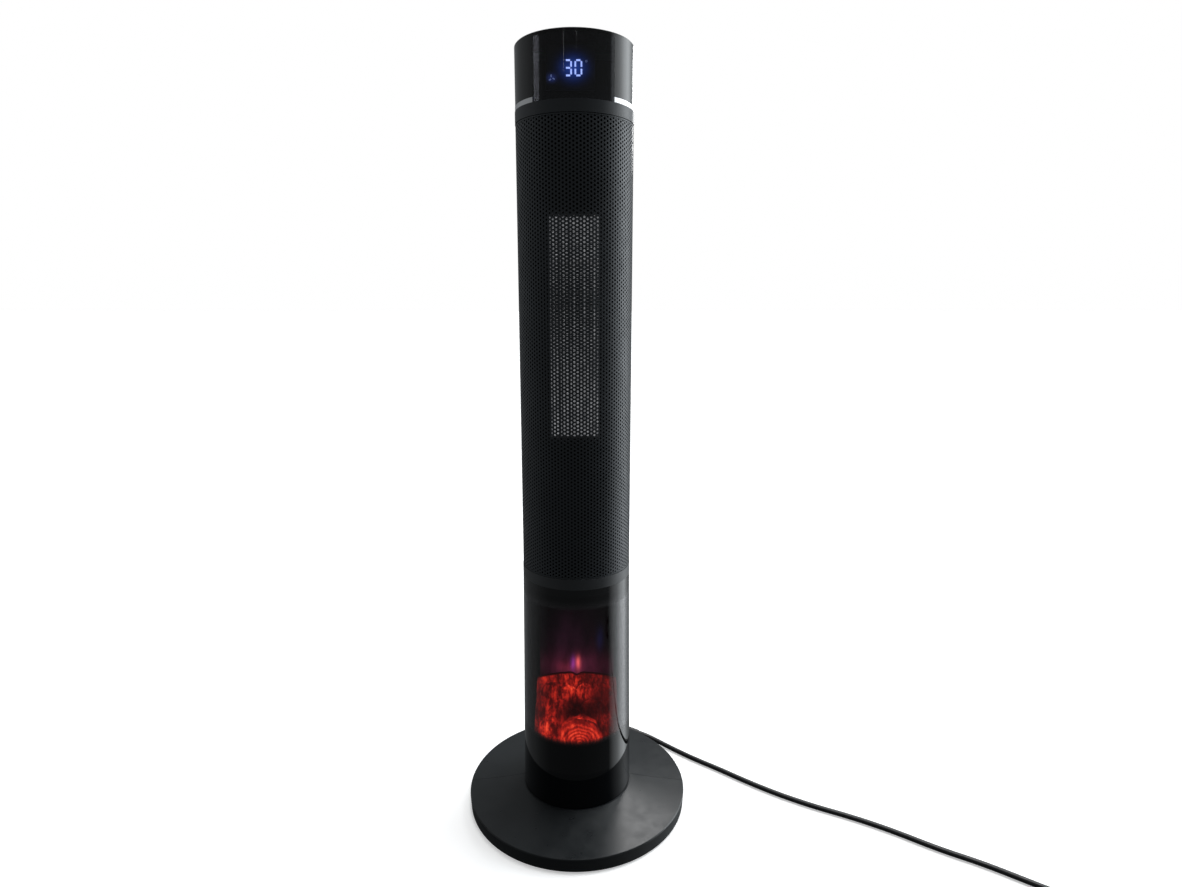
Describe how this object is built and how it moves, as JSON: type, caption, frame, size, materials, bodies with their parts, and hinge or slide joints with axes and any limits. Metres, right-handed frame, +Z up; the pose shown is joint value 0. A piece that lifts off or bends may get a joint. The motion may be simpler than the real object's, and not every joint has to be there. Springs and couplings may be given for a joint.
{
  "type": "ceramic tower heater",
  "caption": "Slim round tower heater on a disc base: perforated grille over a ceramic element, lit ember window below, digital display at the top, swings side to side.",
  "frame": {"origin": "on the floor, under the tower's axis at the middle of the base disc", "axes": "+Z up along the tower, -Y towards the front with the window and display"},
  "size_m": [0.8026, 0.4525, 0.977],
  "materials": {
    "base_plastic": "satin, fine moulded grain",
    "shell_plastic": "fine matt grain",
    "gloss_black": "piano black",
    "smoked_window": "smoked, glossy",
    "display_window": "dark, glossy",
    "trim_ring": "satin",
    "silver_trim": "brushed silver",
    "mesh_metal": "black powder coat, perforated",
    "weight_steel": "zinc plated",
    "screw_steel": "zinc plated",
    "foot_rubber": "matt",
    "nylon": "natural nylon",
    "inner_plastic": "plain inner moulding",
    "duct_metal": "grey sheet",
    "motor_steel": "plain steel can",
    "ember_resin": "cast resin, lit from below",
    "frosted_sheet": "frosted",
    "mirror_foil": "bright foil",
    "board": "circuit board",
    "display_glow": "lit segments",
    "fin_aluminium": "bare fins over ceramic stones",
    "electrode": "bare strips",
    "net": "nylon net",
    "button_plastic": "gloss",
    "cord_pvc": "satin PVC",
    "plug_brass": "plain"
  },
  "bodies": {
    "base": {"base_front_cover": "base_plastic", "base_rear_cover": "base_plastic", "base_plate": "weight_steel", "rubber_feet": "foot_rubber", "base_screws": "screw_steel", "pivot_hub": "nylon", "thrust_washer": "nylon", "swing_ring_gear": "nylon", "hub_clip": "screw_steel", "tip_switch": "inner_plastic", "strain_relief": "cord_pvc", "cord": "cord_pvc", "cord_coil": "cord_pvc", "plug": "cord_pvc", "plug_pins": "plug_brass"},
    "tower": {"foot_plate": "inner_plastic", "swing_motor": "motor_steel", "lower_rear_housing": "gloss_black", "window_lens": "smoked_window", "fire_box": "inner_plastic", "ember_bed": "ember_resin", "flame_screen": "frosted_sheet", "flame_motor": "motor_steel", "led_boards": "board", "power_board": "board", "switch_frame": "inner_plastic", "mid_ring": "trim_ring", "mesh_grille": "mesh_metal", "rear_shell": "shell_plastic", "shell_screws": "screw_steel", "upper_ring": "trim_ring", "silver_ring": "silver_trim", "head_shell": "gloss_black", "display_lens": "display_window", "top_panel": "gloss_black", "display_module": "inner_plastic", "display_segments": "display_glow", "control_board": "board", "tact_switches": "board", "duct_panel": "duct_metal", "duct_screws": "screw_steel", "ceramic_core": "fin_aluminium", "heater_bars": "electrode", "heater_frame": "inner_plastic", "thermal_cutout": "inner_plastic", "blower_housing": "inner_plastic", "blower_motor": "motor_steel", "blower_bearing": "nylon"},
    "swing_pinion": {"swing_pinion": "nylon"},
    "flame_rotor": {"flame_rotor": "mirror_foil"},
    "blower_wheel": {"blower_wheel": "inner_plastic"},
    "filter": {"filter_panel": "shell_plastic", "filter_net": "net"},
    "rocker": {"rocker_switch": "inner_plastic"},
    "plunger": {"tip_over_plunger": "inner_plastic"},
    "button_power": {"button_power": "button_plastic"},
    "button_heat": {"button_heat": "button_plastic"},
    "button_timer": {"button_timer": "button_plastic"},
    "button_swing": {"button_swing": "button_plastic"},
    "button_flame": {"button_flame": "button_plastic"}
  },
  "joints": [
    {"name": "oscillation", "type": "hinge", "parent": "base", "child": "tower", "pos_m": [0, 0, 0.03], "axis": [0, 0, 1], "range_deg": [-35, 35]},
    {"name": "swing_pinion_spin", "type": "hinge", "parent": "tower", "child": "swing_pinion", "pos_m": [0, 0.045, 0.04], "axis": [0, 0, 1], "range_deg": [-140, 140]},
    {"name": "flame_rotor_spin", "type": "hinge", "parent": "tower", "child": "flame_rotor", "pos_m": [-0.005, 0.024, 0.15], "axis": [1, 0, 0], "continuous": true},
    {"name": "blower_spin", "type": "hinge", "parent": "tower", "child": "blower_wheel", "pos_m": [0, 0.012, 0.654], "axis": [0, 0, 1], "continuous": true},
    {"name": "filter_removal", "type": "slide", "parent": "tower", "child": "filter", "axis": [0, 1, 0], "range_m": [0, 0.03]},
    {"name": "rocker_tilt", "type": "hinge", "parent": "tower", "child": "rocker", "pos_m": [0, 0.068, 0.084], "axis": [-1, 0, 0], "range_deg": [0, 12]},
    {"name": "tip_plunger_drop", "type": "slide", "parent": "base", "child": "plunger", "axis": [0, 0, -1], "range_m": [0, 0.004], "stiffness_N_per_m": 150, "springref_m": 0.004},
    {"name": "power_press", "type": "slide", "parent": "tower", "child": "button_power", "axis": [0, 0, -1], "range_m": [0, 0.0012], "stiffness_N_per_m": 400},
    {"name": "heat_press", "type": "slide", "parent": "tower", "child": "button_heat", "axis": [0, 0, -1], "range_m": [0, 0.0012], "stiffness_N_per_m": 400},
    {"name": "timer_press", "type": "slide", "parent": "tower", "child": "button_timer", "axis": [0, 0, -1], "range_m": [0, 0.0012], "stiffness_N_per_m": 400},
    {"name": "swing_press", "type": "slide", "parent": "tower", "child": "button_swing", "axis": [0, 0, -1], "range_m": [0, 0.0012], "stiffness_N_per_m": 400},
    {"name": "flame_press", "type": "slide", "parent": "tower", "child": "button_flame", "axis": [0, 0, -1], "range_m": [0, 0.0012], "stiffness_N_per_m": 400}
  ],
  "couplings": [
    {"joint": "swing_pinion_spin", "follows": "oscillation", "ratio": 4}
  ]
}
